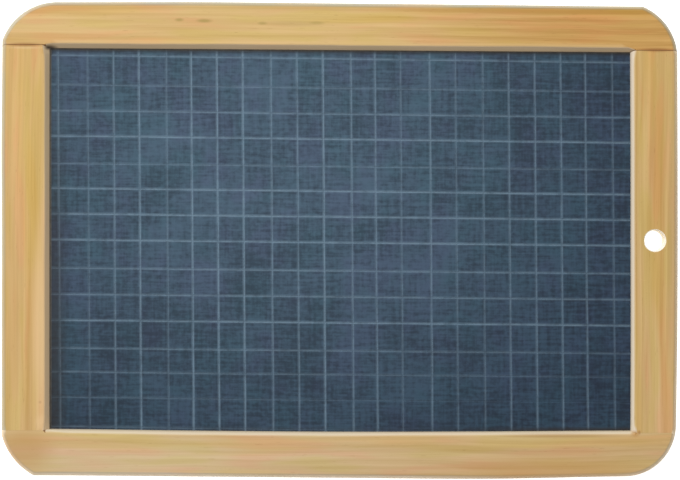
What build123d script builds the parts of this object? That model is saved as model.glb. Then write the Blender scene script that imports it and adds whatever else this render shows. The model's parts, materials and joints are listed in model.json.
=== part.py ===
from build123d import *

import os
from itertools import cycle
from math import sqrt

# School slate: a sheet of slate, ruled in squares on its front, held in the groove of a wooden frame.
# The two long rails run the full length. The two short stiles fit between them, and a tenon on each
# end of a stile fills an open slot in the end of a rail.
# All sizes are in millimetres and angles in degrees. The origin is the middle of the back face,
# +X runs along the length towards the hanging hole, +Y towards the top rail and +Z out of the front.

# Frame, over its outside
frame_length = 260.0
frame_height = 182.6
rail_width = 18.0
stile_width = 18.2

# Wood left in front of and behind the groove, and the groove's reach into each member
lip_thickness = 2.7
groove_depth = 4.0

# Slate, and its play in the groove on each face and at each edge
slate_thickness = 3.4
slate_face_play = 0.1
slate_edge_play = 0.4
slate_edge_ease = 0.3

# Long bevel round the opening, on both faces, and the rounding of the outside edges
bevel_width = 1.7
bevel_depth = 1.8
outside_round = 1.2

# Corner joints: play of the glued tenon in its slot, and the open line at each shoulder
tenon_face_play = 0.05
tenon_side_play = 0.1
top_shoulder_gap = 0.35
bottom_shoulder_gap = 0.1

# The corners are sawn round after gluing, each a little differently. An arc that is sawn past the
# side or the end of the frame meets it at a slight angle, and the overcut says by how much. The angle
# is then sanded to a small radius, the ease.
top_left_radius = 22.5
top_left_end_overcut = 0.9
top_right_radius = 22.0
top_right_side_overcut = 1.7
bottom_right_radius = 20.5
bottom_left_radius = 25.5
bottom_left_end_overcut = 0.9
bottom_left_side_overcut = 3.2
overcut_ease = 3.0

# Hanging hole, drilled through the right stile a little above the middle of its length
hole_diameter = 8.0
hole_above_middle = 0.5
hole_ease = 0.4

# Ruled lines, scratched by a comb of points that was set by hand. The same comb is drawn down the
# slate and then across it, so both sets of lines repeat its gaps. Neither pass is quite square.
comb_gaps = (11.3, 9.9, 9.7, 10.5, 9.5, 9.8, 9.9, 10.8, 10.0, 10.0, 10.8)
comb_gaps += (9.2, 9.8, 11.3, 9.9, 10.5, 10.0, 10.1, 10.0, 9.5, 10.5)
first_line_from_left = 4.0
first_line_from_top = 3.4
down_lines_lean = 0.65
across_lines_lean = -0.4
line_width = 0.5
line_depth = 0.15

# Worked out from the sizes above
groove_width = slate_thickness + 2 * slate_face_play
groove_roof = lip_thickness + groove_width
frame_thickness = groove_roof + lip_thickness
opening_length = frame_length - 2 * stile_width
opening_height = frame_height - 2 * rail_width
slate_reach = groove_depth - slate_edge_play
slate_front = groove_roof - slate_face_play
slot_depth = stile_width - groove_depth + tenon_side_play


def corner_arc(end, side, radius, end_overcut=0.0, side_overcut=0.0):
    """A sawn corner's arc, inside the outline by the ease, as three points from the end to the side."""
    arc_radius = radius - overcut_ease
    end_x = frame_length / 2 - overcut_ease
    side_y = frame_height / 2 - overcut_ease
    centre = Vector(end_x - arc_radius + end_overcut, side_y - arc_radius + side_overcut)
    end_rise = sqrt(arc_radius**2 - (arc_radius - end_overcut) ** 2)
    side_run = sqrt(arc_radius**2 - (arc_radius - side_overcut) ** 2)
    on_end = Vector(end_x, centre.Y + end_rise)
    on_side = Vector(centre.X + side_run, side_y)
    middle = centre + ((on_end + on_side) * 0.5 - centre).normalized() * arc_radius
    return [Vector(point.X * end, point.Y * side) for point in (on_end, middle, on_side)]


def frame_blank():
    """The frame's outside as one plate, with its sawn corners and rounded edges."""
    top_right = corner_arc(1, 1, top_right_radius, side_overcut=top_right_side_overcut)
    top_left = corner_arc(-1, 1, top_left_radius, end_overcut=top_left_end_overcut)
    bottom_left = corner_arc(-1, -1, bottom_left_radius, bottom_left_end_overcut, bottom_left_side_overcut)
    bottom_right = corner_arc(1, -1, bottom_right_radius)
    sawn_line = Wire(
        [
            ThreePointArc(*top_right),
            Line(top_right[2], top_left[2]),
            ThreePointArc(*top_left),
            Line(top_left[0], bottom_left[0]),
            ThreePointArc(*bottom_left),
            Line(bottom_left[2], bottom_right[2]),
            ThreePointArc(*bottom_right),
            Line(bottom_right[0], top_right[0]),
        ]
    )
    plate = extrude(offset(Face(sawn_line), overcut_ease), frame_thickness)
    faces_by_height = plate.faces().sort_by(Axis.Z)
    rims = faces_by_height[0].edges() + faces_by_height[-1].edges()
    return fillet(rims, outside_round)


def along_edge(turn, opening, length, *section):
    """A bar beside the opening, from a section of distances outwards from its edge and heights.

    It lies along the top, and is turned from there about the middle of the board."""
    face = Plane.YZ * make_face(Polyline(*section, close=True))
    return Rot(0, 0, turn) * Pos(0, opening / 2) * extrude(face, length / 2, both=True)


def grooved_bar(turn, opening, length, width):
    """A member before its ends are cut: grooved on its inner edge and bevelled there on both faces."""
    return along_edge(
        turn,
        opening,
        length,
        (bevel_width, 0),
        (width, 0),
        (width, frame_thickness),
        (bevel_width, frame_thickness),
        (0, frame_thickness - bevel_depth),
        (0, groove_roof),
        (groove_depth, groove_roof),
        (groove_depth, lip_thickness),
        (0, lip_thickness),
        (0, bevel_depth),
    )


def shoulder_cut(turn, gap):
    """What a rail's two lips take from the end of a stile, to leave its tenon and bevelled shoulders."""
    front_lip = along_edge(
        turn,
        opening_height,
        frame_length,
        (bevel_width - gap, frame_thickness),
        (rail_width, frame_thickness),
        (rail_width, groove_roof - tenon_face_play),
        (-gap, groove_roof - tenon_face_play),
        (-gap, frame_thickness - bevel_depth),
    )
    return front_lip + mirror(front_lip, about=Plane.XY.offset(frame_thickness / 2))


def rail(turn):
    """A long member, slotted through each end for the tenons."""
    bar = grooved_bar(turn, opening_height, frame_length, rail_width)
    slot = Box(slot_depth, frame_height, groove_width, align=(Align.MAX, Align.CENTER, Align.MIN))
    right_slot = Pos(frame_length / 2, 0, lip_thickness) * slot
    return outside & bar - right_slot - mirror(right_slot, about=Plane.YZ)


def stile(turn):
    """A short member, with a tenon on each end between shoulders that fit over the rails' bevels."""
    bar = grooved_bar(turn, opening_length, frame_height, stile_width)
    return outside & bar - shoulder_cut(0, top_shoulder_gap) - shoulder_cut(180, bottom_shoulder_gap)


def hanging_hole():
    """The wood that the drill takes from the right stile, with both rims eased."""
    radius = hole_diameter / 2
    profile = Polyline(
        (0, 0),
        (radius + hole_ease, 0),
        (radius, hole_ease),
        (radius, frame_thickness - hole_ease),
        (radius + hole_ease, frame_thickness),
        (0, frame_thickness),
        close=True,
    )
    drill = revolve(Plane.XZ * make_face(profile), Axis.Z)
    return Pos((frame_length - stile_width) / 2, hole_above_middle) * drill


def line_places(first_line, opening):
    """Distances of the ruled lines from the opening's edge, with the comb set down again where it ends."""
    place = first_line
    for gap in cycle(comb_gaps):
        if place + line_width > opening + slate_reach:
            return
        yield place
        place += gap


def scribing_comb(turn, opening, first_line):
    """The comb's teeth, drawn right across the slate: they step along +X and are then turned."""
    root = slate_front + line_depth
    tip = slate_front - line_depth
    teeth = []
    for place in line_places(first_line, opening):
        step = place - opening / 2
        teeth += [(step - line_width, root), (step, tip), (step + line_width, root)]
    ends = [(frame_length / 2, frame_thickness), (-frame_length / 2, frame_thickness)]
    face = Plane.XZ * make_face(Polyline(*teeth, *ends, close=True))
    return Rot(0, 0, turn) * extrude(face, frame_length / 2, both=True)


def slate():
    """The sheet of slate in its groove, with eased edges and a ruled front."""
    length = opening_length + 2 * slate_reach
    height = opening_height + 2 * slate_reach
    sheet = Box(length, height, slate_thickness, align=(Align.CENTER, Align.CENTER, Align.MAX))
    sheet = Pos(0, 0, slate_front) * chamfer(sheet.edges(), slate_edge_ease)
    down_pass = scribing_comb(down_lines_lean, opening_length, first_line_from_left)
    across_pass = scribing_comb(across_lines_lean - 90, opening_height, first_line_from_top)
    return sheet - down_pass - across_pass


outside = frame_blank()
board = {
    "top_rail": rail(turn=0),
    "left_stile": stile(turn=90),
    "bottom_rail": rail(turn=180),
    "right_stile": stile(turn=270) - hanging_hole(),
    "slate_panel": slate(),
}

os.makedirs("parts", exist_ok=True)
for name, shape in board.items():
    export_step(shape, f"parts/{name}.step")
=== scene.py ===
import bmesh
import bpy
import json
from itertools import cycle
from math import acos, cos, inf, pi, radians, sin
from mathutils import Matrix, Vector, noise


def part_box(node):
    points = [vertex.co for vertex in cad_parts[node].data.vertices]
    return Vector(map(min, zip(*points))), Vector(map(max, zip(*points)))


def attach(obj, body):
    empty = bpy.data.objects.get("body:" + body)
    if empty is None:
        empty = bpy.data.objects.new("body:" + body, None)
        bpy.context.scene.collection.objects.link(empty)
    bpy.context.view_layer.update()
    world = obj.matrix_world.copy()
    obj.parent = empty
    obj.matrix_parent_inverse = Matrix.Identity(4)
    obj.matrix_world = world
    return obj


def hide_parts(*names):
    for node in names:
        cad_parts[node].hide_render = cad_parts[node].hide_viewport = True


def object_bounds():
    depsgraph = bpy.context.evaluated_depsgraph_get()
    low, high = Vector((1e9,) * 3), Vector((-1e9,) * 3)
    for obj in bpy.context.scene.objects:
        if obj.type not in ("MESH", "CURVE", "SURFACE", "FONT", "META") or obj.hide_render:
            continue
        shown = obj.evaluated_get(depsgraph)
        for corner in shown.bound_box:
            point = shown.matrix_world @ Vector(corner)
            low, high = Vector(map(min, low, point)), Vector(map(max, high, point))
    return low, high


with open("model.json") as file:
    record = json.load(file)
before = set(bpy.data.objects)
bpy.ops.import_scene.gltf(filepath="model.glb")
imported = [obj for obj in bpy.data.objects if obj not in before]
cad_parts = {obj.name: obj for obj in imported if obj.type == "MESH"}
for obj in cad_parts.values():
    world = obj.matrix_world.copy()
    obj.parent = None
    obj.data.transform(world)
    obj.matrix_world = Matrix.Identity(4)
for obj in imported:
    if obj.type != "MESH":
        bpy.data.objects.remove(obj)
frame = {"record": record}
cadLow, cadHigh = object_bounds()

mm = 0.001
hair = 0.001 * mm  # two points closer than this are one
flatFrom = 0.99  # a face is flat if its normal stands this nearly upright
deadFlatFrom = 0.995  # which tells it from the first facet of a rounding
uprightTo = 0.05  # and upright if its normal lies this nearly level

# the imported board's own sizes, which every piece keeps to
halfLength = cadHigh.x
halfHeight = cadHigh.y
thickness = cadHigh.z
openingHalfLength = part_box("right_stile")[0].x
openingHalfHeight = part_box("top_rail")[0].y
slateLow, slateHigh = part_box("slate_panel")
railWidth = halfHeight - openingHalfHeight
stileWidth = halfLength - openingHalfLength
print("frame loaded, board is", [round(size / mm, 1) for size in cadHigh - cadLow], "mm")


# editing helpers

def activate(piece):
    bpy.ops.object.select_all(action='DESELECT')
    piece.select_set(True)
    bpy.context.view_layer.objects.active = piece


def startPiece(piece, name):
    piece.name = piece.data.name = name
    activate(piece)
    bpy.ops.object.transform_apply(location=True, rotation=True, scale=True)
    bpy.ops.object.mode_set(mode='EDIT')


def pick(kind, test):
    # selects the verts, edges or faces that pass the test, and nothing else
    mesh = bpy.context.object.data
    bpy.ops.mesh.select_mode(type=kind)
    bpy.ops.mesh.select_all(action='DESELECT')
    work = bmesh.from_edit_mesh(mesh)
    work.normal_update()
    for part in {'VERT': work.verts, 'EDGE': work.edges, 'FACE': work.faces}[kind]:
        if test(part):
            part.select_set(True)
    work.select_flush_mode()
    bmesh.update_edit_mesh(mesh)


def cut(point, normal, clear=False, fill=False):
    bpy.ops.mesh.select_all(action='SELECT')
    bpy.ops.mesh.bisect(plane_co=point, plane_no=normal, clear_outer=clear, use_fill=fill, threshold=hair)


def extrude(along):
    bpy.ops.mesh.extrude_region_move(TRANSFORM_OT_translate={"value": (along, 0, 0)})


def nudge(test, shift):
    # moves each vert that passes the test by its own small shift
    mesh = bpy.context.object.data
    work = bmesh.from_edit_mesh(mesh)
    for vert in work.verts:
        if test(vert.co):
            vert.co += shift(vert.co)
    bmesh.update_edit_mesh(mesh)


def weld(reach):
    bpy.ops.mesh.select_all(action='SELECT')
    bpy.ops.mesh.remove_doubles(threshold=reach)


def turnOutwards():
    bpy.ops.mesh.select_all(action='SELECT')
    bpy.ops.mesh.normals_make_consistent(inside=False)


def wave(place, perMetre, seed):
    # a slow wander between about -1 and 1
    return noise.noise(Vector((place * perMetre, seed, 0.5 * seed)))


def middle(part):
    # of an edge or a face
    return sum((vert.co for vert in part.verts), Vector()) / len(part.verts)


def belowFace(point):
    # how far a point lies below the nearer of the board's two faces
    return min(point.z, thickness - point.z)


def within(value, low, high):
    return max(low, min(high, value))


def ramp(value, low, high):
    # 0 as far as low, 1 from high on and smooth between
    part = within((value - low) / (high - low), 0.0, 1.0)
    return part * part * (3 - 2 * part)


def through(values, place):
    # a smooth line through evenly set values, from place -1 to place 1
    last = len(values) - 1
    spot = (within(place, -1.0, 1.0) + 1) / 2 * last
    left = min(int(spot), last - 1)
    part = spot - left
    before, here, there, after = [values[within(left + step, 0, last)] for step in (-1, 0, 1, 2)]
    bend = 2 * before - 5 * here + 4 * there - after
    twist = 3 * (here - there) + after - before
    return here + part / 2 * (there - before + part * (bend + part * twist))


# wooden members

memberStock = {
    "bevelDepth": 1.8 * mm,  # long bevel round the opening, on both faces
    "bevelArrisSteps": 4,  # its upper edge is rubbed round
    "rubbedTo": 3.4 * mm,  # and the face beside it rubbed pale, with a painted highlight where it turns over the arris, this far from the opening
    "rubbedPast": 1.5 * mm,  # a rail's edges are rubbed this far past the opening's ends
    "bevelSlopes": (0.2, 0.97),  # how nearly upright the bevel's normal stands, least and most
    "bevelWaves": (34, 95),  # slow and quick wander of its width, in waves to the metre
    "outsideRound": 1.7 * mm,
    "roundSteps": 6,
    "arris": 0.16 * mm,  # sandpaper on the other sharp edges
    "arrisSteps": 2,
    "arrisFrom": radians(33),
    "facePlay": 0.1 * mm,  # groove round the slate
    "edgePlay": 0.4 * mm,
    "tenonPlay": 0.05 * mm,
    "shoulderGaps": (0.02 * mm, 0.05 * mm),  # open line at a stile's bottom and top
    "loopSpacing": 2.5 * mm,
    "sawnWeld": 0.04 * mm,  # points that the saw and the rounding leave this close are joined, but no tenon
    "roundWeld": 0.01 * mm,
    "smoothTo": radians(35),
}
lip = slateLow.z - memberStock["facePlay"]
roof = slateHigh.z + memberStock["facePlay"]
grooveDepth = slateHigh.x - openingHalfLength + memberStock["edgePlay"]
slotDepth = stileWidth - grooveDepth + memberStock["tenonPlay"]

# the corners were sawn round by hand after gluing, some of them past the frame's straight sides
sawnCorners = {
    "topLeft": {"towards": (-1, 1), "radius": 22.5 * mm, "endOvercut": 1.2 * mm, "sideOvercut": 0.0},
    "topRight": {"towards": (1, 1), "radius": 22.0 * mm, "endOvercut": 0.0, "sideOvercut": 1.7 * mm},
    "bottomRight": {"towards": (1, -1), "radius": 20.5 * mm, "endOvercut": 0.0, "sideOvercut": 0.0},
    "bottomLeft": {"towards": (-1, -1), "radius": 25.5 * mm, "endOvercut": 0.9 * mm, "sideOvercut": 3.2 * mm},
}
cornerFacets = 16

# how far each hand-planed side stands in from the square outline and the square opening,
# in mm at five even places along it, from the left or from the bottom
sideFalls = {
    "top": {"outside": (0.47, 0.03, 0.16, 0.29, 0.53), "inside": (0.1, 0.1, 0.13, 0.2, 0.2)},
    "bottom": {"outside": (1.28, 0.87, 0.4, 0.05, 1.05), "inside": (1.05, 0.44, 0.1, 0.28, 0.68)},
    "left": {"outside": (0.7, 0.55, 0.42, 0.1, 0.29), "inside": (0.7, 0.55, 0.4, 0.24, 0.15)},
    "right": {"outside": (0.56, 0.15, 0.08, 0.2, 0.4), "inside": (-0.1, -0.12, 0.04, 0.15, 0.42)},
}


def isRail(turn):
    return abs(cos(turn)) > 0.5


def insetOf(turn):
    # from the middle of the board to a member's inner edge
    return openingHalfHeight if isRail(turn) else openingHalfLength


def openingAlong(turn):
    # half the opening's length beside a member
    return openingHalfLength if isRail(turn) else openingHalfHeight


def betweenLips(face):
    return lip < middle(face).z < roof


def bevelOf(plan, endWidths, turn, order):
    # a member's long bevel, from its bar's first end to the other
    return {
        "widths": plan["bevelWidths"][::order],
        "endWidths": endWidths[::order],
        "runOuts": [(openingAlong(turn) - before, runOut) for before, runOut in plan["runOuts"][::order]],
        "wander": plan["bevelWander"],
        "seed": plan["seed"],
    }


def bevelAt(place, bevel):
    # the long bevel's width at a place along a bar, which changes near the joints
    end = 1 if place > 0 else 0
    runOutFrom, runOut = bevel["runOuts"][end]
    part = within((place / runOutFrom + 1) / 2, 0.0, 1.0)
    width = bevel["widths"][0] + (bevel["widths"][1] - bevel["widths"][0]) * part
    calm = 1 - ramp(abs(place), runOutFrom, runOutFrom + runOut)
    slow, quick = memberStock["bevelWaves"]
    stray = wave(place, slow, bevel["seed"]) + 0.5 * wave(place, quick, bevel["seed"] + 3)
    return calm * (width + bevel["wander"] * stray) + (1 - calm) * bevel["endWidths"][end]


def addBar(name, width, fromX, toX, bevel):
    # one grooved and bevelled bar along X, its inner edge on y = 0
    bevelWidth = sum(bevel["widths"]) / 2
    bevelDepth = memberStock["bevelDepth"]
    bpy.ops.mesh.primitive_plane_add(size=1, location=(fromX, width / 2, thickness / 2),
                                     rotation=(0, pi / 2, 0))
    bar = bpy.context.object
    bar.scale = (thickness, width, 1)
    startPiece(bar, name)
    for height in (lip, roof, bevelDepth, thickness - bevelDepth):
        cut((fromX, 0, height), (0, 0, 1))
    pick('FACE', betweenLips)
    bpy.ops.mesh.bisect(plane_co=(fromX, grooveDepth, 0), plane_no=(0, 1, 0), threshold=hair)
    pick('FACE', lambda face: betweenLips(face) and middle(face).y < grooveDepth)
    bpy.ops.mesh.delete(type='FACE')
    cut((fromX, bevelWidth, thickness), (0, -bevelDepth, bevelWidth), clear=True)
    cut((fromX, bevelWidth, 0), (0, -bevelDepth, -bevelWidth), clear=True)

    steps = round((toX - fromX) / memberStock["loopSpacing"])
    bpy.ops.mesh.select_all(action='SELECT')
    for step in range(steps):
        extrude((toX - fromX) / steps)
    for end, (runOutFrom, runOut) in zip((-1, 1), bevel["runOuts"]):
        cut((end * (runOutFrom + 0.5 * runOut), 0, 0), (1, 0, 0))
    turnOutwards()
    nudge(lambda co: belowFace(co) < hair and abs(co.y - bevelWidth) < hair,
          lambda co: Vector((0, bevelAt(co.x, bevel) - bevelWidth, 0)))
    return bar


def slotEnds(fromX, toX):
    # a rail's two lips run on past the groove's end, either side of an open slot
    for end, along in ((toX, 1), (fromX, -1)):
        pick('FACE', lambda face: abs(middle(face).x - end) < hair and not betweenLips(face))
        extrude(along * slotDepth)


def copeEnds(fromX, toX, leans):
    # a stile's shoulders lean out over the rails' bevels, and a tenon stands out between them
    for end, along, lean in ((fromX, -1, leans[0]), (toX, 1, leans[1])):
        pick('VERT', lambda vert: abs(vert.co.x - end) < hair and belowFace(vert.co) < hair)
        bpy.ops.transform.translate(value=(along * lean, 0, 0))
        pick('FACE', lambda face: abs(middle(face).x - end) < hair and betweenLips(face))
        bpy.ops.mesh.inset(thickness=memberStock["tenonPlay"])
        extrude(along * (halfHeight - abs(end)))


def placeBar(bar, turn):
    # turns a bar from the top of the board to its own side
    bpy.ops.object.mode_set(mode='OBJECT')
    bar.rotation_euler.z = turn
    bar.location = (-sin(turn) * insetOf(turn), cos(turn) * insetOf(turn), 0)
    bpy.ops.object.transform_apply(location=True, rotation=True, scale=True)
    bpy.ops.object.mode_set(mode='EDIT')


def turnedBack(direction, turn):
    # how far a direction runs along a bar and across it
    along = direction.x * cos(turn) + direction.y * sin(turn)
    return along, direction.y * cos(turn) - direction.x * sin(turn)


def onBar(point, turn):
    # a point's place along a bar and across it from its inner edge
    along, across = turnedBack(point, turn)
    return along, across - insetOf(turn)


def sawCorner(corner):
    plan = sawnCorners[corner]
    radius = plan["radius"]
    toEnd, toSide = plan["towards"]
    centreX = toEnd * (halfLength - radius + plan["endOvercut"])
    centreY = toSide * (halfHeight - radius + plan["sideOvercut"])
    fromAngle = acos(1 - plan["endOvercut"] / radius)
    toAngle = pi / 2 - acos(1 - plan["sideOvercut"] / radius)
    for step in range(cornerFacets):
        angle = fromAngle + (toAngle - fromAngle) * (step + 0.5) / cornerFacets
        outwards = Vector((toEnd * cos(angle), toSide * sin(angle), 0))
        cut(Vector((centreX, centreY, 0)) + radius * outwards, outwards, clear=True, fill=True)
    weld(memberStock["sawnWeld"])


def roundOutside():
    def isRim(edge):
        if len(edge.link_faces) != 2:
            return False
        slopes = sorted(abs(face.normal.z) for face in edge.link_faces)
        return slopes[0] < uprightTo and slopes[1] > flatFrom and belowFace(middle(edge)) < hair

    pick('EDGE', isRim)
    bpy.ops.mesh.bevel(offset=memberStock["outsideRound"], segments=memberStock["roundSteps"], affect='EDGES',
                       loop_slide=False)
    weld(memberStock["roundWeld"])


def drillHole(bar, hole):
    # drilled right through, with both rims eased
    radius = hole["radius"]
    axis = Vector(hole["centre"]).to_2d()

    def fromAxis(point):
        return (point.to_2d() - axis).length

    # the faces round the hole are cleared of loops first, then parted across it at the middle of a facet,
    # so that no face runs right round it
    pick('EDGE', lambda edge: all(abs(face.normal.z) > flatFrom for face in edge.link_faces)
         and fromAxis(middle(edge)) < hole["clearedTo"])
    bpy.ops.mesh.dissolve_edges(use_verts=False)
    halfFacet = radius * sin(pi / hole["facets"])
    cut(Vector(hole["centre"]) + Vector((0, halfFacet, 0)), (0, 1, 0))
    bpy.ops.object.mode_set(mode='OBJECT')
    bpy.ops.mesh.primitive_cylinder_add(vertices=hole["facets"], radius=radius, depth=3 * thickness,
                                        location=hole["centre"])
    drill = bpy.context.object
    activate(bar)
    drilling = bar.modifiers.new("drilling", 'BOOLEAN')
    drilling.object = drill
    drilling.operation = 'DIFFERENCE'
    drilling.solver = 'EXACT'
    bpy.ops.object.modifier_apply(modifier=drilling.name)
    bpy.data.objects.remove(drill)
    bpy.ops.object.mode_set(mode='EDIT')
    # drilling leaves the points in no set order, and welds go by it
    bpy.ops.mesh.select_all(action='SELECT')
    bpy.ops.mesh.sort_elements(type='CURSOR_DISTANCE', elements={'VERT', 'EDGE', 'FACE'})
    pick('EDGE', lambda edge: max(fromAxis(vert.co) for vert in edge.verts) < radius + hole["slack"]
         and belowFace(middle(edge)) < hole["slack"])
    bpy.ops.mesh.bevel(offset=hole["ease"], segments=hole["easeSteps"], affect='EDGES')


def softenArrises(turn, bevelArris, rubbedTo, tightEnd):
    # the bevel's upper edge is rubbed round as far as it shows, and other sharp edges are only sanded,
    # but not in the joints at the tight end, which is 1 for the top and -1 for the bottom
    leastSlope, mostSlope = memberStock["bevelSlopes"]
    clear = 0.1 * mm  # the groove's own edges stay as they were cut

    def isBevelTop(edge):
        if len(edge.link_faces) != 2:
            return False
        slope, flat = sorted(edge.link_faces, key=lambda face: abs(face.normal.z))
        if abs(flat.normal.z) < flatFrom or not leastSlope < slope.normal.z * flat.normal.z < mostSlope:
            return False
        places = [onBar(vert.co, turn) for vert in edge.verts]
        return all(across < grooveDepth and abs(along) < rubbedTo for along, across in places)

    def isSharp(edge):
        if len(edge.link_faces) != 2 or edge.calc_face_angle() < memberStock["arrisFrom"]:
            return False
        places = [onBar(vert.co, turn) for vert in edge.verts]
        if any(abs(along) > rubbedTo for along, across in places):
            return False
        if isRail(turn) and any(across > railWidth / 2 for along, across in places):
            return False
        if any(abs(vert.co.y) > openingHalfHeight - mm and vert.co.y * tightEnd > 0 for vert in edge.verts):
            return False
        return all(vert.co.z > roof + clear or vert.co.z < lip - clear for vert in edge.verts)

    pick('EDGE', isBevelTop)
    bpy.ops.mesh.bevel(offset=bevelArris, segments=memberStock["bevelArrisSteps"], affect='EDGES',
                       clamp_overlap=False)
    pick('EDGE', isSharp)
    bpy.ops.mesh.bevel(offset=memberStock["arris"], segments=memberStock["arrisSteps"], affect='EDGES',
                       clamp_overlap=False)


def edgeRubbed(turn):
    # a loop on the flat faces beside the opening, as far as the wood is rubbed
    outwards = Vector((-sin(turn), cos(turn), 0))
    pick('FACE', lambda face: abs(face.normal.z) > deadFlatFrom
         and abs(onBar(middle(face), turn)[0]) < openingAlong(turn))
    bpy.ops.mesh.bisect(plane_co=(insetOf(turn) + memberStock["rubbedTo"]) * outwards, plane_no=outwards,
                        threshold=hair)


def fallShort(side, place, depth):
    # depth runs from 0 at the opening to 1 at the outside
    inside = through(sideFalls[side]["inside"], place)
    outside = through(sideFalls[side]["outside"], place)
    return (inside + (outside - inside) * depth) * mm


def planeSides(bar):
    # pulls a square bar in to the lines of the hand-planed frame, but leaves the groove's floor to the slate
    near = 0.1 * mm
    grooveX = openingHalfLength + grooveDepth
    grooveY = openingHalfHeight + grooveDepth
    for vert in bar.data.vertices:
        x, y, z = vert.co
        inGroove = abs(x) < grooveX + near and abs(y) < grooveY + near
        onFloor = inGroove and min(grooveX - abs(x), grooveY - abs(y)) < near
        if onFloor and lip - hair < z < roof + hair:
            continue
        depthX = max(0.0, (abs(x) - openingHalfLength) / stileWidth)
        depthY = max(0.0, (abs(y) - openingHalfHeight) / railWidth)
        pullX = fallShort("right" if x > 0 else "left", y / openingHalfHeight, depthX)
        pullY = fallShort("top" if y > 0 else "bottom", x / openingHalfLength, depthY)
        vert.co.x -= pullX * within(x / openingHalfLength, -1.0, 1.0)
        vert.co.y -= pullY * within(y / openingHalfHeight, -1.0, 1.0)


# what use has left on the wood, kept on the mesh for its material
wearNames = (
    "handled",  # 1 round the outside edges, where hands have darkened the wood, and where the bottom rail and right stile are painted paler down the outside, painted light against their shade
    "upright",  # from 0 on the flat faces to 1 down the outside
    "scraped",  # 1 on the long bevels, where the plane has left paler wood
    "bored",  # 1 in the hole, where the wood is fresh and painted near white, painted light on the wall's shade
    "foot",  # 1 along the foot of the long bevels, where dirt gathers and shade is painted
    "rubbedAndHighlight",  # 1 at the top of the long bevels, less away from them on the flat faces: rubbed wood, and a painted highlight over the arris
    "glued",  # 1 on the shoulders and on what lies under them
)
# a lean is the level part of a normal, and a slope its upright part
wearPlan = {
    "railJointFrom": 1.2 * mm,  # from the opening's end
    "railJointLean": 0.15,
    "stileJointFrom": -1.0 * mm,
    "stileJointLean": 0.3,
    "stileJointTo": 0.9,  # share of the stile's width
    "holeFromGroove": 1.0 * mm,
    "holeFromOutside": 2.0 * mm,
    "rubbedShort": 0.2 * mm,  # the loop where it ends has none
    "rubbedFromJoint": 2.0 * mm,
    "rubbedAndHighlightSlopes": (0.85, 0.95),
    "outsideLean": 0.05,
    "handledLeast": 0.5,
    "handledSlopes": (1.0, 0.97),
    "uprightSlope": 0.85,
    "bevelLean": 0.1,
    "scrapedSlopes": (0.985, 0.865),
    "footDepths": (0.7, 0.95),  # share of the bevel's depth
}


def isGlued(face, turn):
    along, across = onBar(face.center, turn)
    alongNormal, acrossNormal = turnedBack(face.normal, turn)
    if isRail(turn):
        return (acrossNormal < -wearPlan["railJointLean"]
                and abs(along) > openingHalfLength + wearPlan["railJointFrom"])
    return (abs(alongNormal) > wearPlan["stileJointLean"]
            and abs(along) > openingHalfHeight + wearPlan["stileJointFrom"]
            and across < wearPlan["stileJointTo"] * stileWidth)


def isBored(face, turn):
    along, across = onBar(face.center, turn)
    clearOfGroove = across > grooveDepth + wearPlan["holeFromGroove"]
    clearOfOutside = across < stileWidth - wearPlan["holeFromOutside"]
    return not isRail(turn) and clearOfGroove and clearOfOutside and abs(along) < openingHalfHeight / 2


def markWear(bar, turn):
    mesh = bar.data
    wear = {name: [0.0] * len(mesh.loops) for name in wearNames}
    rubbedAcross = memberStock["rubbedTo"] - wearPlan["rubbedShort"]
    rubbedAlong = openingAlong(turn) - wearPlan["rubbedFromJoint"]
    for face in mesh.polygons:
        inLips = face.center.z > roof + hair or face.center.z < lip - hair
        if inLips and isGlued(face, turn):
            for index in face.loop_indices:
                wear["glued"][index] = 1.0
            continue
        along, across = onBar(face.center, turn)
        lean = face.normal.x * face.center.x / halfLength + face.normal.y * face.center.y / halfHeight
        pastGroove = across > grooveDepth or abs(along) > openingHalfLength + grooveDepth
        inHole = isBored(face, turn)
        onOutside = lean > wearPlan["outsideLean"] and pastGroove
        leansIn = turnedBack(face.normal, turn)[1] < -wearPlan["bevelLean"]
        onBevel = leansIn and across < grooveDepth and inLips
        for index in face.loop_indices:
            vert = mesh.vertices[mesh.loops[index].vertex_index]
            slope = abs(vert.normal.z)
            vertAlong, vertAcross = onBar(vert.co, turn)
            if inLips and vertAcross < rubbedAcross and abs(vertAlong) < rubbedAlong:
                wear["rubbedAndHighlight"][index] = ramp(slope, *wearPlan["rubbedAndHighlightSlopes"])
            if abs(face.normal.z) > deadFlatFrom:
                continue
            if inHole:
                wear["bored"][index] = 1.0
            elif onOutside:
                least = wearPlan["handledLeast"]
                wear["handled"][index] = least + (1 - least) * ramp(slope, *wearPlan["handledSlopes"])
                wear["upright"][index] = within((1 - slope) / (1 - wearPlan["uprightSlope"]), 0.0, 1.0)
            elif onBevel:
                depth = belowFace(vert.co) / memberStock["bevelDepth"]
                wear["scraped"][index] = ramp(slope, *wearPlan["scrapedSlopes"])
                wear["foot"][index] = ramp(depth, *wearPlan["footDepths"])
    for name, amounts in wear.items():
        mesh.attributes.new(name, 'FLOAT', 'CORNER').data.foreach_set("value", amounts)


def finishBar(bar, node, turn, plan, rubbedTo, tightEnd=0):
    for corner in plan["corners"]:
        sawCorner(corner)
    roundOutside()
    softenArrises(turn, plan["bevelArris"], rubbedTo, tightEnd)
    if plan["wood"]["rubbedAndHighlight"]:
        edgeRubbed(turn)
    turnOutwards()
    bpy.ops.object.mode_set(mode='OBJECT')
    markWear(bar, turn)
    planeSides(bar)
    bpy.ops.object.shade_smooth_by_angle(angle=memberStock["smoothTo"])
    evening = bar.modifiers.new("evening", 'WEIGHTED_NORMAL')
    evening.keep_sharp = True
    bpy.ops.object.modifier_apply(modifier=evening.name)
    bar.data.materials.append(makeWood(bar.name + "Wood", plan["wood"], turn))
    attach(bar, "root")
    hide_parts(node)
    print(bar.name, "made,", len(bar.data.polygons), "faces")


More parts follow.
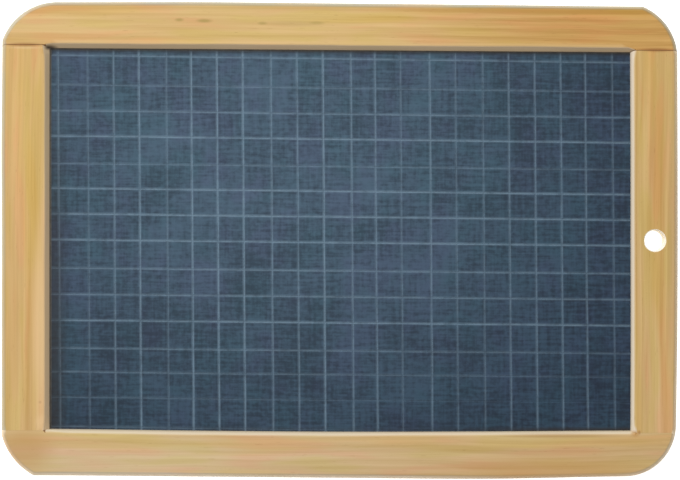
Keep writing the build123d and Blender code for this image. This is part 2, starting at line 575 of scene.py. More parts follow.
def makeRail(name, node, turn, plan):
    # the plan reads from left to right, and a bar that is turned right round is made from right to left
    order = 1 if turn == 0 else -1
    reach = halfLength - slotDepth
    bevel = bevelOf(plan, plan["shoulders"], turn, order)
    bar = addBar(name, railWidth, -reach, reach, bevel)
    slotEnds(-reach, reach)
    placeBar(bar, turn)
    finishBar(bar, node, turn, plan, openingHalfLength + memberStock["rubbedPast"])


def makeStile(name, node, turn, plan, hole=None):
    # the plan reads from the bottom to the top
    order = 1 if turn > 0 else -1
    gaps = memberStock["shoulderGaps"][::order]
    fromX = -openingHalfHeight + gaps[0]
    toX = openingHalfHeight - gaps[1]
    bevel = bevelOf(plan, plan["endWidths"], turn, order)
    bar = addBar(name, stileWidth, fromX, toX, bevel)
    copeEnds(fromX, toX, plan["shoulders"][::order])
    placeBar(bar, turn)
    if hole:
        drillHole(bar, hole)
    finishBar(bar, node, turn, plan, halfHeight, tightEnd=-1)


# slate

slatePlan = {
    "edgeEase": 0.3 * mm,
    "easeSteps": 2,
    "combGaps": (11.3, 9.9, 9.7, 10.5, 9.5, 9.8, 9.9, 10.8, 10.0, 10.0, 10.8,
                 9.2, 9.8, 11.3, 9.9, 10.5, 10.0, 10.1, 10.0, 9.5, 10.5),  # mm between the comb's points
    "firstFromLeft": 4.0 * mm,
    "firstFromTop": 3.4 * mm,
    "downLean": radians(0.65),
    "acrossLean": radians(-0.4),
    "lineWidth": 0.5 * mm,
    "lineDepth": 0.14 * mm,
    "dustWidth": 1.4 * mm,  # pale dust lies a little way either side of a line
    "lineStrength": 0.47,
    "sideShare": 0.55,  # of that, at a line's two sides
    "bluntPoints": (2, 5, 14, 16, 17, 22),  # points of the comb that mark faintly
    "bluntStrength": 0.31,
    "keenPoints": (4, 6, 7, 8, 11),
    "keenStrength": 0.65,
    "liftedFrom": 11,  # the hand lifted towards the end of the pass across
    "liftPerLine": 0.24,
    "liftMiddle": 0.85,  # what a lift takes at the middle of the slate
    "liftRight": 0.6,  # and what more of it at the right
    "leastLeft": 0.1,
    "handWobble": 0.1 * mm,
    "handSeed": 5,  # draws the same wobble each run
    "wobblesPerMetre": 55,
    "handSwing": 0.6 * mm,  # up, at the end of the pass across
    "swingDown": (20 * mm, 70 * mm),  # below the middle, where it begins and where it is full
    "swingLeft": (40 * mm, 100 * mm),  # left of the middle
    "swingRight": 0.4,  # share of it that remains on the right
}
onLine = 5 * hair


def ruledLines():
    # every line's middle, direction across it, strength and fading, down the slate and then across it
    lines = []
    passes = (
        (slatePlan["firstFromLeft"], openingHalfLength, slateHigh.x, slatePlan["downLean"], inf),
        (slatePlan["firstFromTop"], openingHalfHeight, slateHigh.y, slatePlan["acrossLean"] - pi / 2,
         slatePlan["liftedFrom"]),
    )
    for place, opening, edge, turn, liftedFrom in passes:
        across = Vector((cos(turn), sin(turn), 0))
        for point, gap in enumerate(cycle(slatePlan["combGaps"]), start=1):
            if place - opening > edge - slatePlan["dustWidth"]:
                break
            strength = slatePlan["lineStrength"]
            if point in slatePlan["bluntPoints"]:
                strength = slatePlan["bluntStrength"]
            if point in slatePlan["keenPoints"]:
                strength = slatePlan["keenStrength"]
            lift = slatePlan["liftPerLine"] * max(0, point - liftedFrom)
            lines.append(((place - opening) * across, across, strength, lift))
            place += gap * mm
    return lines


def markLines(sheet, lines):
    # ruled: the line's strength along its middle, less at its sides and none beyond the dust
    half = slatePlan["lineWidth"] / 2
    marks = [0.0] * len(sheet.data.vertices)
    for vert in sheet.data.vertices:
        if vert.normal.z < 0.5 or vert.co.z < slateHigh.z - 2 * slatePlan["lineDepth"]:
            continue
        for point, across, strength, lift in lines:
            aside = abs((vert.co - point).dot(across))
            if aside < half + onLine:
                lifted = slatePlan["liftMiddle"] + slatePlan["liftRight"] * vert.co.x / openingHalfLength
                remains = max(slatePlan["leastLeft"], 1 - lift * lifted)
                share = 1.0 if aside < onLine else slatePlan["sideShare"]
                marks[vert.index] = max(marks[vert.index], remains * strength * share)
    sheet.data.attributes.new("ruled", 'FLOAT', 'POINT').data.foreach_set("value", marks)


def makeSlate(material):
    bpy.ops.mesh.primitive_cube_add(size=1, location=(slateLow + slateHigh) / 2)
    sheet = bpy.context.object
    sheet.scale = slateHigh - slateLow
    startPiece(sheet, "slatePanel")
    bpy.ops.mesh.select_all(action='SELECT')
    bpy.ops.mesh.bevel(offset=slatePlan["edgeEase"], segments=slatePlan["easeSteps"], affect='EDGES')

    # only the front is ruled
    lines = ruledLines()
    pick('FACE', lambda face: face.normal.z > flatFrom)
    bpy.ops.mesh.hide(unselected=True)
    halfLine = slatePlan["lineWidth"] / 2
    halfDust = slatePlan["dustWidth"] / 2
    for point, across, *rest in lines:
        for side in (-halfDust, -halfLine, 0, halfLine, halfDust):
            cut(point + side * across, across)
    bpy.ops.mesh.reveal(select=False)
    # a faint line is a shallow one
    for point, across, strength, lift in lines:
        pick('VERT', lambda vert: abs((vert.co - point).dot(across)) < onLine
             and vert.co.z > slateHigh.z - hair)
        bpy.ops.transform.translate(value=(0, 0, -slatePlan["lineDepth"] * (0.5 + 0.5 * strength)))
    bpy.ops.object.mode_set(mode='OBJECT')
    markLines(sheet, lines)

    # no hand draws a line dead straight
    noise.seed_set(slatePlan["handSeed"])
    least = slatePlan["swingRight"]
    for vert in sheet.data.vertices:
        x, y, z = vert.co
        onFront = z > slateHigh.z - 2 * slatePlan["lineDepth"]
        if onFront and abs(x) < slateHigh.x - mm and abs(y) < slateHigh.y - mm:
            swing = least + (1 - least) * ramp(-x, *slatePlan["swingLeft"])
            swing *= ramp(-y, *slatePlan["swingDown"])
            wobble = noise.noise_vector(vert.co * slatePlan["wobblesPerMetre"])
            vert.co += slatePlan["handWobble"] * wobble * Vector((1, 1, 0))
            vert.co.y += slatePlan["handSwing"] * swing
    sheet.data.materials.append(material)
    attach(sheet, "root")
    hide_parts("slate_panel")
    print("slatePanel made,", len(lines), "ruled lines,", len(sheet.data.polygons), "faces")


# shader helpers

def tint(red, green, blue):
    # a colour as seen on screen, 0 to 255, in the renderer's linear values
    levels = [level / 255 for level in (red, green, blue)]
    return (*[level / 12.92 if level < 0.04 else ((level + 0.055) / 1.055) ** 2.4 for level in levels], 1)


def addNode(tree, kind, **settings):
    node = tree.nodes.new(kind)
    for name, value in settings.items():
        setattr(node, name, value)
    return node


def treeOf(*sources):
    # the node tree that the first socket among the sources is in
    return next(source.id_data for source in sources if isinstance(source, bpy.types.NodeSocket))


def feed(socket, source):
    if isinstance(source, bpy.types.NodeSocket):
        socket.id_data.links.new(source, socket)
    else:
        socket.default_value = source


def maths(operation, *sources, clamp=False):
    node = addNode(treeOf(*sources), 'ShaderNodeMath', operation=operation, use_clamp=clamp)
    for socket, source in zip(node.inputs, sources):
        feed(socket, source)
    return node.outputs[0]


def mixture(*shares):
    # the sum of several sources, each times its own share
    total = 0.0
    for source, share in shares:
        total = maths('MULTIPLY_ADD', source, share, total)
    return total


def scaled(source, factors):
    # a place or a colour with each of its three parts scaled
    node = addNode(treeOf(source), 'ShaderNodeVectorMath', operation='MULTIPLY')
    feed(node.inputs[0], source)
    node.inputs[1].default_value = factors
    return node.outputs[0]


def mapped(place, kind='POINT', **settings):
    node = addNode(treeOf(place), 'ShaderNodeMapping', vector_type=kind)
    feed(node.inputs["Vector"], place)
    for name, value in settings.items():
        node.inputs[name].default_value = value
    return node.outputs[0]


def lengthOf(place):
    node = addNode(treeOf(place), 'ShaderNodeVectorMath', operation='LENGTH')
    feed(node.inputs[0], place)
    return node.outputs["Value"]


def axesOf(place):
    node = addNode(treeOf(place), 'ShaderNodeSeparateXYZ')
    feed(node.inputs[0], place)
    return node.outputs


def marked(tree, name):
    # an amount that the mesh carries
    return addNode(tree, 'ShaderNodeAttribute', attribute_name=name).outputs["Fac"]


def cloud(place, cells, detail=3.0, roughness=0.5):
    # noise with so many cells to the metre on each axis
    node = addNode(treeOf(place), 'ShaderNodeTexNoise')
    feed(node.inputs["Vector"], scaled(place, cells))
    node.inputs["Scale"].default_value = 1.0
    node.inputs["Detail"].default_value = detail
    node.inputs["Roughness"].default_value = roughness
    return node.outputs["Fac"]


def spread(source, low, high, toLow=0.0, toHigh=1.0):
    node = addNode(treeOf(source), 'ShaderNodeMapRange', interpolation_type='SMOOTHSTEP')
    names = ("Value", "From Min", "From Max", "To Min", "To Max")
    for name, value in zip(names, (source, low, high, toLow, toHigh)):
        feed(node.inputs[name], value)
    return node.outputs["Result"]


def stain(amount, under, over):
    node = addNode(treeOf(amount, under, over), 'ShaderNodeMix', data_type='RGBA')
    feed(node.inputs[0], amount)
    feed(node.inputs[6], under)
    feed(node.inputs[7], over)
    return node.outputs[2]


def addBump(shader, strength, depth, height):
    bump = addNode(treeOf(height), 'ShaderNodeBump')
    bump.inputs["Strength"].default_value = strength
    bump.inputs["Distance"].default_value = depth
    feed(bump.inputs["Height"], height)
    feed(shader.inputs["Normal"], bump.outputs[0])


def newMaterial(name):
    material = bpy.data.materials.new(name)
    material.use_nodes = True
    return material, material.node_tree.nodes["Principled BSDF"]


def newGroup(name, inputs, outputs):
    group = bpy.data.node_groups.new(name, 'ShaderNodeTree')
    for socketName, kind in inputs:
        group.interface.new_socket(name=socketName, in_out='INPUT', socket_type=kind)
    for socketName, kind in outputs:
        group.interface.new_socket(name=socketName, in_out='OUTPUT', socket_type=kind)
    given = addNode(group, 'NodeGroupInput')
    made = addNode(group, 'NodeGroupOutput')
    return group, given.outputs, made.inputs


# wood

woodGrain = {
    "swayCells": (9, 30, 30),  # cells are to the metre, along the grain and across it
    "swayAcross": 6 * mm,
    "swayDeep": 4 * mm,
    "ringCells": (4, 90, 90),
    "ringWander": 3.0,  # in years
    "lateFrom": (0.25, 0.85),  # the part of a year in which the darker wood grows
    "lateTo": (1.0, 0.88),
    "lateMean": 0.3,
    "broadCells": (5, 260, 260),
    "narrowCells": (13, 820, 820),
    "fibreCells": (70, 2600, 2600),
    "streakShares": (0.5, 0.36, 0.14),  # of the broad, the narrow and the fibre
    "streakDepth": 2.6,
    "meanDepth": 0.45,
    "hueCells": (24, 170, 170),
    "amberCells": (10, 120, 120),
    "fleckCells": (240, 2700, 2700),
    "rosySpread": (0.5, 0.64),
    "oliveSpread": (0.5, 0.36),
    "amberSpread": (0.5, 0.7),
    "fleckSpread": (0.7, 0.77),
    "fleckShare": 0.35,
    "earlyCast": (1.09, 1.11, 1.16),
    "lateCast": (0.86, 0.81, 0.70),
    "rosyCast": (1.04, 0.93, 0.98),
    "oliveCast": (0.96, 1.0, 0.86),
    "amberCast": (1.0, 0.95, 0.78),
    "fleckCast": (0.62, 0.5, 0.38),
    "heightShares": (0.7, 0.2, -0.5),  # of the fibre, the late wood and the flecks
}


def makeWoodFigure(plan):
    # grain along X of the place it is given, with the heart of the tree on that X axis
    group, given, made = newGroup(
        "woodFigure",
        [("Place", 'NodeSocketVector'), ("Base", 'NodeSocketColor'), ("Contrast", 'NodeSocketFloat'),
         ("Ring Strength", 'NodeSocketFloat'), ("Ring Spacing", 'NodeSocketFloat')],
        [("Color", 'NodeSocketColor'), ("Fibre", 'NodeSocketFloat'), ("Height", 'NodeSocketFloat')])
    # the grain wanders a little from the straight
    sway = cloud(given["Place"], plan["swayCells"], detail=2)
    swayUp = maths('SUBTRACT', sway, 0.5)
    shift = addNode(group, 'ShaderNodeCombineXYZ')
    feed(shift.inputs["Y"], maths('MULTIPLY', swayUp, plan["swayAcross"]))
    feed(shift.inputs["Z"], maths('MULTIPLY', swayUp, -plan["swayDeep"]))
    swayed = addNode(group, 'ShaderNodeVectorMath', operation='ADD')
    feed(swayed.inputs[0], given["Place"])
    feed(swayed.inputs[1], shift.outputs["Vector"])
    place = swayed.outputs[0]
    # growth rings
    radius = lengthOf(scaled(place, (0, 1, 1)))
    wander = cloud(place, plan["ringCells"])
    years = maths('MULTIPLY_ADD', wander, plan["ringWander"], maths('DIVIDE', radius, given["Ring Spacing"]))
    season = maths('FRACT', years)
    late = maths('MULTIPLY', spread(season, *plan["lateFrom"]), spread(season, *plan["lateTo"]))
    # streaks at three scales
    broad = cloud(place, plan["broadCells"], roughness=0.55)
    narrow = cloud(place, plan["narrowCells"], roughness=0.55)
    fibre = cloud(place, plan["fibreCells"], roughness=0.6)
    streak = mixture(*zip((broad, narrow, fibre), plan["streakShares"]))
    streak = maths('MULTIPLY', maths('SUBTRACT', streak, 0.5), given["Contrast"])
    streak = maths('MULTIPLY_ADD', streak, plan["streakDepth"], plan["meanDepth"])
    lateMore = maths('SUBTRACT', late, plan["lateMean"])
    depth = maths('MULTIPLY_ADD', lateMore, given["Ring Strength"], streak, clamp=True)
    early = scaled(given["Base"], plan["earlyCast"])
    colour = stain(depth, early, scaled(given["Base"], plan["lateCast"]))
    # patches of other hues and short dark flecks
    hue = cloud(place, plan["hueCells"], detail=2)
    amber = cloud(place, plan["amberCells"], detail=2)
    for name, source in (("rosy", hue), ("olive", hue), ("amber", amber)):
        amount = spread(source, *plan[name + "Spread"])
        colour = stain(amount, colour, scaled(colour, plan[name + "Cast"]))
    fleck = spread(cloud(place, plan["fleckCells"], detail=1), *plan["fleckSpread"])
    colour = stain(maths('MULTIPLY', fleck, plan["fleckShare"]), colour, scaled(colour, plan["fleckCast"]))
    feed(made["Color"], colour)
    feed(made["Fibre"], fibre)
    feed(made["Height"], mixture(*zip((fibre, late, fleck), plan["heightShares"])))
    return group


woodFigure = makeWoodFigure(woodGrain)
woodStock = {
    # a bevel's foot: dirt with painted shade
    "shadeAndDirt": (92, 78, 60),
    # rubbed wood, with a painted highlight over the bevels' arris
    "wornAndHighlight": (236, 206, 156),
    "fresh": (250, 242, 226),
    # the hole: fresh wood, painted near white as light on the wall's shade
    "glue": (120, 78, 38),
    "scorch": (150, 98, 50),
    # darker patches in the opening's top left corner
    "cornerDark": (66, 50, 42),
    "amber": (190, 145, 86),
    "dull": (178, 147, 100),
    "olive": (172, 148, 82),
    "pale": (232, 198, 150),
    "scraped": 0.8,  # how far the bare tint covers the bevels
    "bored": 0.9,  # and the fresh one, painted near white as light on its shaded wall, the hole
    "handledCast": (0.68, 0.8, 1.1),  # what hands have made of the wood's own colour
    "patchCells": (70, 70, 300),  # which lies in patches
    "patchSpread": (0.3, 0.7, 0.7, 1.0),
    "markDepth": 0.7 * thickness,  # below the front
    "markEdge": 0.2,  # a mark is full as far as this share of its size
    "roughness": (0.2, 0.8, 0.44, 0.62),
    "handledGloss": 0.08,
    "gloss": 0.35,
    "bumpStrength": 0.25,
    "bumpDepth": 0.12 * mm,
}


def makeWood(name, plan, turn):
    material, shader = newMaterial(name)
    tree = material.node_tree
    where = addNode(tree, 'ShaderNodeTexCoord').outputs["Object"]
    # a member's colour and figure change from one end to the other
    along = axesOf(where)["X" if isRail(turn) else "Y"]
    ends = plan["tintPlaces"]
    base = stain(spread(along, *ends), *[tint(*levels) for levels in plan["tints"]])
    grainTurn = 0 if isRail(turn) else pi / 2
    grainPlace = mapped(where, Rotation=(0, 0, -grainTurn), Location=plan["heart"])
    figure = addNode(tree, 'ShaderNodeGroup', node_tree=woodFigure)
    feed(figure.inputs["Place"], grainPlace)
    feed(figure.inputs["Base"], base)
    feed(figure.inputs["Contrast"], spread(along, *ends, *plan["contrasts"]))
    feed(figure.inputs["Ring Strength"], spread(along, *ends, *plan["ringStrengths"]))
    feed(figure.inputs["Ring Spacing"], plan["ringSpacing"])
    colour = figure.outputs["Color"]
    # the bevels, the faces rubbed beside them and the hole are paler, the rubbed faces with a painted
    # highlight over the arris and the hole near white, painted light on its shaded wall, and dirt lies at a
    # bevel's foot with painted shade
    for wear, share, levels in (
        ("scraped", woodStock["scraped"], plan["bare"]),
        ("bored", woodStock["bored"], woodStock["fresh"]),
        ("rubbedAndHighlight", plan["rubbedAndHighlight"], woodStock["wornAndHighlight"]),
        ("foot", plan["footShadeAndDirt"], woodStock["shadeAndDirt"]),
    ):
        colour = stain(maths('MULTIPLY', marked(tree, wear), share), colour, tint(*levels))
    # handled edges are greyer and darker, but down the outside of the bottom rail and right stile paler,
    # painted light against the shade there, and old glue shows in the joints
    handled = marked(tree, "handled")
    patches = spread(cloud(where, woodStock["patchCells"]), *woodStock["patchSpread"])
    darkened = scaled(colour, woodStock["handledCast"])
    edge = stain(marked(tree, "upright"), darkened, tint(*plan["side"]))
    colour = stain(maths('MULTIPLY', handled, patches), colour, edge)
    colour = stain(marked(tree, "glued"), colour, tint(*woodStock["glue"]))
    # stains on the front, each with its place, its half length and half width, its strength and its tint
    for markX, markY, halfX, halfY, strength, tintName in plan["marks"]:
        near = mapped(where, 'TEXTURE', Location=(markX * mm, markY * mm, thickness),
                      Scale=(halfX * mm, halfY * mm, woodStock["markDepth"]))
        amount = spread(lengthOf(near), 1.0, woodStock["markEdge"], 0.0, strength)
        colour = stain(amount, colour, tint(*woodStock[tintName]))
    feed(shader.inputs["Base Color"], colour)
    roughness = spread(figure.outputs["Fibre"], *woodStock["roughness"])
    roughness = maths('MULTIPLY_ADD', handled, -woodStock["handledGloss"], roughness)
    feed(shader.inputs["Roughness"], roughness)
    shader.inputs["Specular IOR Level"].default_value = woodStock["gloss"]
    addBump(shader, woodStock["bumpStrength"], woodStock["bumpDepth"], figure.outputs["Height"])
    return material


# stone

# a spread says where it starts and ends, and how much there is at either unless that is none and all
stonePlan = {
    "deep": (24, 38, 54),
    "body": (44, 65, 84),
    "film": (92, 116, 135),
    "line": (126, 150, 168),
    # dark dirt and painted shade beside the frame
    "shadeAndDirt": (44, 38, 33),
    # pale dust and painted light at the frame's foot, lifting the shadow there
    "dustAndLight": (148, 139, 126),
    "blotchCells": (38, 46, 46),  # cells are to the metre
    "speckCells": (480, 620, 620),
    "rubCells": (75, 950, 950),
    "hatchCells": (900, 75, 75),
    "mottleShares": (0.28, 0.32, 0.28, 0.2),
    "bodySpread": (0.43, 0.65),
    "filmShift": (32 * mm, -51 * mm, 0),
    "filmScale": (1.0, 1.15, 0.0),
    "filmReach": (190 * mm, 20 * mm),
    "filmSpread": (0.41, 0.67, 0.24, 0.58),
    "veinCells": (85, 75, 75),
    "bluerSpread": (0.5, 0.66),
    "bluerCast": (1.06, 0.95, 1.02),
    "greenerSpread": (0.5, 0.34),
    "greenerCast": (0.92, 1.03, 0.99),
    "breakCells": (240, 240, 240),
    "breakSpread": (0.3, 0.6, 0.6, 1.0),
    "lineByFilm": (0.3, 0.85),  # lines are fresher where the film is thick
    # painted shadow with dirt below the top rail, above the bottom rail and in the top left corner, and
    # darker towards the left edge, more so lower down
    "topShadeAndDirt": (2.4 * mm, 0.8 * mm, 0.0, 0.52),
    "bottomShadeAndDirt": (2.6 * mm, 0.6 * mm),
    "bottomShadeAndDirtAlong": (30 * mm, 108 * mm, 0.15, 0.9),
    "leftShadeAndDirt": (9.0 * mm, 2.5 * mm),
    "leftShadeAndDirtAlong": (75 * mm, -40 * mm, 0.1, 0.6),
    "cornerShade": (4.5 * mm, 1.0 * mm, 0.0, 0.7),
    "footLean": (0.1 * mm, 0.7 * mm),  # the left bevel's foot, at the top and at the bottom
    "leftDustAndLight": (0.95 * mm, 0.25 * mm),
    "leftDustAndLightAlong": (30 * mm, -50 * mm, 1.0, 0.6),
    "topDustAndLight": (1.1 * mm, 0.1 * mm, 0.0, 0.6),
    "dustAndLightSpread": (0.3, 0.6, 0.7, 1.0),
    "roughness": (0.3, 0.7, 0.62, 0.8),
    "gloss": 0.3,
    "bumpStrength": 0.4,
    "bumpDepth": 0.08 * mm,
    "rubHeight": 0.4,
}


def makeStone(name, plan):
    material, shader = newMaterial(name)
    tree = material.node_tree
    where = addNode(tree, 'ShaderNodeTexCoord').outputs["Object"]
    blotch = cloud(where, plan["blotchCells"], detail=4, roughness=0.6)
    speck = cloud(where, plan["speckCells"], detail=4, roughness=0.65)
    rub = cloud(where, plan["rubCells"], roughness=0.55)
    hatch = cloud(where, plan["hatchCells"], roughness=0.55)
    mottle = mixture(*zip((blotch, speck, rub, hatch), plan["mottleShares"]))
    colour = stain(spread(mottle, *plan["bodySpread"]), tint(*plan["deep"]), tint(*plan["body"]))
    # a thin film of rubbed-in chalk, thickest towards the top left
    filmPlace = mapped(where, Location=plan["filmShift"], Scale=plan["filmScale"])
    reach = spread(lengthOf(filmPlace), *plan["filmReach"])
    film = maths('MULTIPLY', reach, spread(mottle, *plan["filmSpread"]))
    colour = stain(film, colour, tint(*plan["film"]))
    # veins of bluer and greener stone
    vein = cloud(where, plan["veinCells"], detail=2)
    for hue in ("bluer", "greener"):
        amount = spread(vein, *plan[hue + "Spread"])
        colour = stain(amount, colour, scaled(colour, plan[hue + "Cast"]))
    # chalk in the ruled lines, broken here and there
    breaks = spread(cloud(where, plan["breakCells"], roughness=0.6), *plan["breakSpread"])
    fresh = maths('MULTIPLY', breaks, maths('MULTIPLY_ADD', reach, *plan["lineByFilm"]))
    chalk = maths('MULTIPLY', marked(tree, "ruled"), fresh, clamp=True)
    colour = stain(chalk, colour, tint(*plan["line"]))
    # what no rag reaches, with painted light and shade: dust and painted light right beside the frame,
    # lifting the shadow at its foot, and dark dirt and painted shadow a little way out from it
    axes = axesOf(where)
    fromTop = maths('SUBTRACT', openingHalfHeight, axes["Y"])
    fromBottom = maths('ADD', openingHalfHeight, axes["Y"])
    fromLeft = maths('ADD', openingHalfLength, axes["X"])
    topShadeAndDirt = spread(fromTop, *plan["topShadeAndDirt"])
    bottomShadeAndDirt = maths('MULTIPLY', spread(fromBottom, *plan["bottomShadeAndDirt"]),
                       spread(axes["X"], *plan["bottomShadeAndDirtAlong"]))
    leftShadeAndDirt = maths('MULTIPLY', spread(fromLeft, *plan["leftShadeAndDirt"]),
                     spread(axes["Y"], *plan["leftShadeAndDirtAlong"]))
    fromCorner = mapped(where, Location=(openingHalfLength, -openingHalfHeight, -slateHigh.z))
    cornerShade = spread(lengthOf(fromCorner), *plan["cornerShade"])
    shadeAndDirt = topShadeAndDirt
    for more in (bottomShadeAndDirt, leftShadeAndDirt, cornerShade):
        shadeAndDirt = maths('MAXIMUM', shadeAndDirt, more)
    colour = stain(shadeAndDirt, colour, tint(*plan["shadeAndDirt"]))
    # pale dust with painted light along the left bevel's foot and below the top rail, where it lifts the
    # shadow
    footLean = spread(axes["Y"], openingHalfHeight, -openingHalfHeight, *plan["footLean"])
    fromFoot = maths('SUBTRACT', fromLeft, footLean)
    leftDustAndLight = maths('MULTIPLY', spread(fromFoot, *plan["leftDustAndLight"]),
                     spread(axes["Y"], *plan["leftDustAndLightAlong"]))
    dustAndLight = maths('MAXIMUM', leftDustAndLight, spread(fromTop, *plan["topDustAndLight"]))
    dustAndLight = maths('MULTIPLY', dustAndLight, spread(speck, *plan["dustAndLightSpread"]))
    colour = stain(dustAndLight, colour, tint(*plan["dustAndLight"]))
    feed(shader.inputs["Base Color"], colour)
    feed(shader.inputs["Roughness"], spread(mottle, *plan["roughness"]))
    shader.inputs["Specular IOR Level"].default_value = plan["gloss"]
    height = mixture((speck, 1.0), (rub, plan["rubHeight"]))
    addBump(shader, plan["bumpStrength"], plan["bumpDepth"], height)
    return material


# pieces

# marks at three joints, which run over both members: dark joint lines at the top two, and a darker patch in
# the opening's bottom right corner
topLeftScorch = (-121.0, 74.3, 10.0, 1.1, 0.66, "scorch")
topRightScorch = (121.5, 73.9, 9.5, 1.15, 0.66, "scorch")
bottomRightDarkening = ((113.4, -73.8, 2.4, 1.8, 0.8, "amber"), (115.0, -73.2, 0.8, 1.2, 0.5, "scorch"))
topRailPlan = {
    "corners": ("topLeft", "topRight"),
    "bevelWidths": (1.8 * mm, 1.75 * mm),
    "bevelArris": 0.4 * mm,
    "shoulders": (1.3 * mm, 0.74 * mm),  # what is left of the bevel under each stile
    "runOuts": ((1.0 * mm, 2.4 * mm), (1.0 * mm, 2.4 * mm)),  # where it narrows, and how slowly
    "bevelWander": 0.16 * mm,
    "seed": 18.0,
    "wood": {
        "tints": ((216, 181, 121), (202, 158, 91)),
        "tintPlaces": (0 * mm, 95 * mm),
        "bare": (222, 198, 164),  # wood on the bevels, as the plane left it
        "side": (180, 174, 152),  # down the outside
        "footShadeAndDirt": 0.05,
        "rubbedAndHighlight": 0.36,
        "contrasts": (1.2, 2.5),
        "heart": (0, -60 * mm, 34 * mm),
        "ringStrengths": (0.2, 0.5),
        "ringSpacing": 1.5 * mm,
        "marks": (
            (-62.2, 84.2, 2.4, 0.95, 0.7, "olive"),
            (-52.7, 83.9, 4.2, 1.05, 0.8, "olive"),
            (-30.4, 83.1, 2.6, 0.9, 0.6, "olive"),
            (-18.4, 83.0, 16.0, 1.7, 0.3, "olive"),
            (-9.6, 83.4, 4.0, 0.9, 0.5, "olive"),
            topLeftScorch,
            topRightScorch,
            # darker in the opening's top left corner
            (-111.3, 73.2, 3.8, 1.5, 0.9, "cornerDark"),
        ),
    },
}
bottomRailPlan = {
    "corners": ("bottomLeft", "bottomRight"),
    "bevelWidths": (1.1 * mm, 0.85 * mm),
    "bevelArris": 1.0 * mm,
    "shoulders": (0.5 * mm, 0.8 * mm),
    "runOuts": ((8.0 * mm, 7.0 * mm), (1.0 * mm, 2.4 * mm)),
    "bevelWander": 0.16 * mm,
    "seed": 31.0,
    "wood": {
        "tints": ((209, 183, 141), (199, 167, 119)),
        "tintPlaces": (-110 * mm, 110 * mm),
        # whiter than on the top rail and left stile: planed wood with a painted sheen, where these bevels
        # face the lamp
        "bare": (217, 203, 178),
        # down the outside, paler than the wood: painted light against the shade on this side
        "side": (232, 214, 186),
        "footShadeAndDirt": 0.3,
        "rubbedAndHighlight": 0.0,
        "contrasts": (1.0, 1.7),
        "heart": (0, 130 * mm, 26 * mm),
        "ringStrengths": (0.14, 0.2),
        "ringSpacing": 3.4 * mm,
        "marks": (
            *bottomRightDarkening,
            (85.0, -74.5, 32.0, 1.3, 0.35, "scorch"),
            (80.0, -88.0, 58.0, 8.0, 0.6, "amber"),
            (-121.0, -80.0, 16.0, 12.0, 0.6, "amber"),
        ),
    },
}
leftStilePlan = {
    "corners": ("topLeft", "bottomLeft"),
    "bevelWidths": (1.9 * mm, 1.8 * mm),
    "bevelArris": 0.42 * mm,
    "endWidths": (2.2 * mm, 2.6 * mm),
    "runOuts": ((3.5 * mm, 3.2 * mm), (3.5 * mm, 3.2 * mm)),
    "shoulders": bottomRailPlan["shoulders"][:1] + topRailPlan["shoulders"][:1],
    "bevelWander": 0.12 * mm,
    "seed": 44.0,
    "wood": {
        "tints": ((209, 174, 119), (215, 177, 113)),
        "tintPlaces": (-80 * mm, 80 * mm),
        "bare": (222, 199, 166),
        "side": (180, 172, 148),
        "footShadeAndDirt": 0.02,
        "rubbedAndHighlight": 0.22,
        "contrasts": (1.8, 1.0),
        "heart": (0, -88 * mm, 40 * mm),
        "ringStrengths": (0.2, 0.15),
        "ringSpacing": 2.8 * mm,
        "marks": (
            (-114.6, -62.0, 0.8, 0.8, 0.7, "scorch"),
            (-126.5, -25.0, 5.0, 70.0, 0.3, "amber"),
            (-114.5, -35.0, 5.0, 60.0, 0.6, "pale"),
            (-113.5, -70.0, 4.0, 5.0, 0.5, "pale"),
            (-121.0, 73.2, 9.0, 0.8, 0.4, "pale"),
            topLeftScorch,
            # darker in the opening's top left corner
            (-112.2, 73.4, 1.7, 1.5, 0.85, "cornerDark"),
        ),
    },
}
rightStilePlan = {
    "corners": ("topRight", "bottomRight"),
    "bevelWidths": (0.6 * mm, 0.6 * mm),
    "bevelArris": 1.15 * mm,
    "endWidths": (1.2 * mm, 1.2 * mm),
    "runOuts": ((3.5 * mm, 3.2 * mm), (3.5 * mm, 3.2 * mm)),
    "shoulders": bottomRailPlan["shoulders"][1:] + topRailPlan["shoulders"][1:],
    "bevelWander": 0.1 * mm,
    "seed": 57.0,
    "wood": {
        "tints": ((206, 172, 119), (203, 169, 107)),
        "tintPlaces": (-80 * mm, 80 * mm),
        # whiter than on the top rail and left stile: planed wood with a painted sheen, where these bevels
        # face the lamp
        "bare": (216, 206, 190),
        # down the outside, paler than the wood: painted light against the shade on this side
        "side": (230, 212, 182),
        "footShadeAndDirt": 0.15,
        "rubbedAndHighlight": 0.0,
        "contrasts": (1.7, 1.5),
        "heart": (0, 160 * mm, 30 * mm),
        "ringStrengths": (0.25, 0.25),
        "ringSpacing": 3.0 * mm,
        "marks": (
            (128.5, 3.0, 4.0, 90.0, 0.4, "dull"),
            *bottomRightDarkening,
            topRightScorch,
        ),
    },
}
hangingHole = {
    "centre": frame["record"]["mounts"][0]["pos_m"],
    "radius": frame["record"]["mounts"][0]["dims"]["r_mm"] * mm,
    "facets": 64,
    "clearedTo": 12 * mm,  # from its middle
    "ease": 0.4 * mm,
    "easeSteps": 3,
    "slack": 0.01 * mm,
}
makeRail("topRail", "top_rail", 0, topRailPlan)
makeRail("bottomRail", "bottom_rail", pi, bottomRailPlan)
makeStile("leftStile", "left_stile", pi / 2, leftStilePlan)
makeStile("rightStile", "right_stile", -pi / 2, rightStilePlan, hangingHole)
makeSlate(makeStone("ruledSlate", stonePlan))

# floor, light and camera

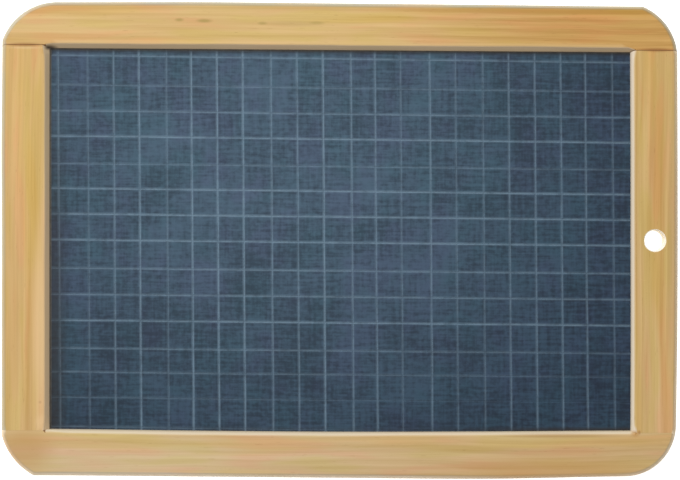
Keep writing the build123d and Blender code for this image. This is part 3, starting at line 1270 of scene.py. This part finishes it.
stagePlan = {
    "floorSize": 6.0,
    "floorWhite": (0.85, 0.85, 0.85, 1),
    "floorRoughness": 0.9,
    "keyFrom": Vector((-4.2, 4.2, 5.7)),
    "keySize": 3.2,
    "keyPower": 600.0,
    "skyStrength": 0.4,
    "floorGlow": 0.9,
}


def makeFloorPaint():
    material, shader = newMaterial("paleFloor")
    shader.inputs["Base Color"].default_value = stagePlan["floorWhite"]
    shader.inputs["Roughness"].default_value = stagePlan["floorRoughness"]
    shader.inputs["Emission Color"].default_value = (1, 1, 1, 1)
    shader.inputs["Emission Strength"].default_value = stagePlan["floorGlow"]
    return material


bpy.ops.mesh.primitive_plane_add(size=stagePlan["floorSize"])
floor = bpy.context.object
floor.name = "floor"
floor.data.materials.append(makeFloorPaint())

bpy.ops.object.light_add(type='AREA', location=stagePlan["keyFrom"])
key = bpy.context.object
key.name = "keyLight"
key.data.size = stagePlan["keySize"]
key.data.energy = stagePlan["keyPower"]
key.rotation_euler = (-stagePlan["keyFrom"]).to_track_quat('-Z', 'Y').to_euler()

world = bpy.data.worlds.new("studio")
bpy.context.scene.world = world
world.use_nodes = True
world.node_tree.nodes["Background"].inputs["Color"].default_value = (1, 1, 1, 1)
world.node_tree.nodes["Background"].inputs["Strength"].default_value = stagePlan["skyStrength"]
bpy.context.scene.view_settings.view_transform = 'Standard'

cameraPlan = {
    "target": Vector((-0.33, 0.28, 7.0)) * mm,
    "distance": 1200 * mm,
    "tiltUp": radians(0.5675),
    "tiltAcross": radians(2.5606),
    "roll": radians(0.2016),
    "lens": 165.65,
    "sensor": 36,
}
bpy.ops.object.camera_add(rotation=(cameraPlan["tiltUp"], -cameraPlan["tiltAcross"], cameraPlan["roll"]))
camera = bpy.context.object
camera.name = "photoCamera"
camera.data.lens = cameraPlan["lens"]
camera.data.sensor_width = cameraPlan["sensor"]
backwards = camera.rotation_euler.to_matrix() @ Vector((0, 0, 1))
camera.location = cameraPlan["target"] + cameraPlan["distance"] * backwards
bpy.context.scene.camera = camera
print("stage, light and camera set")
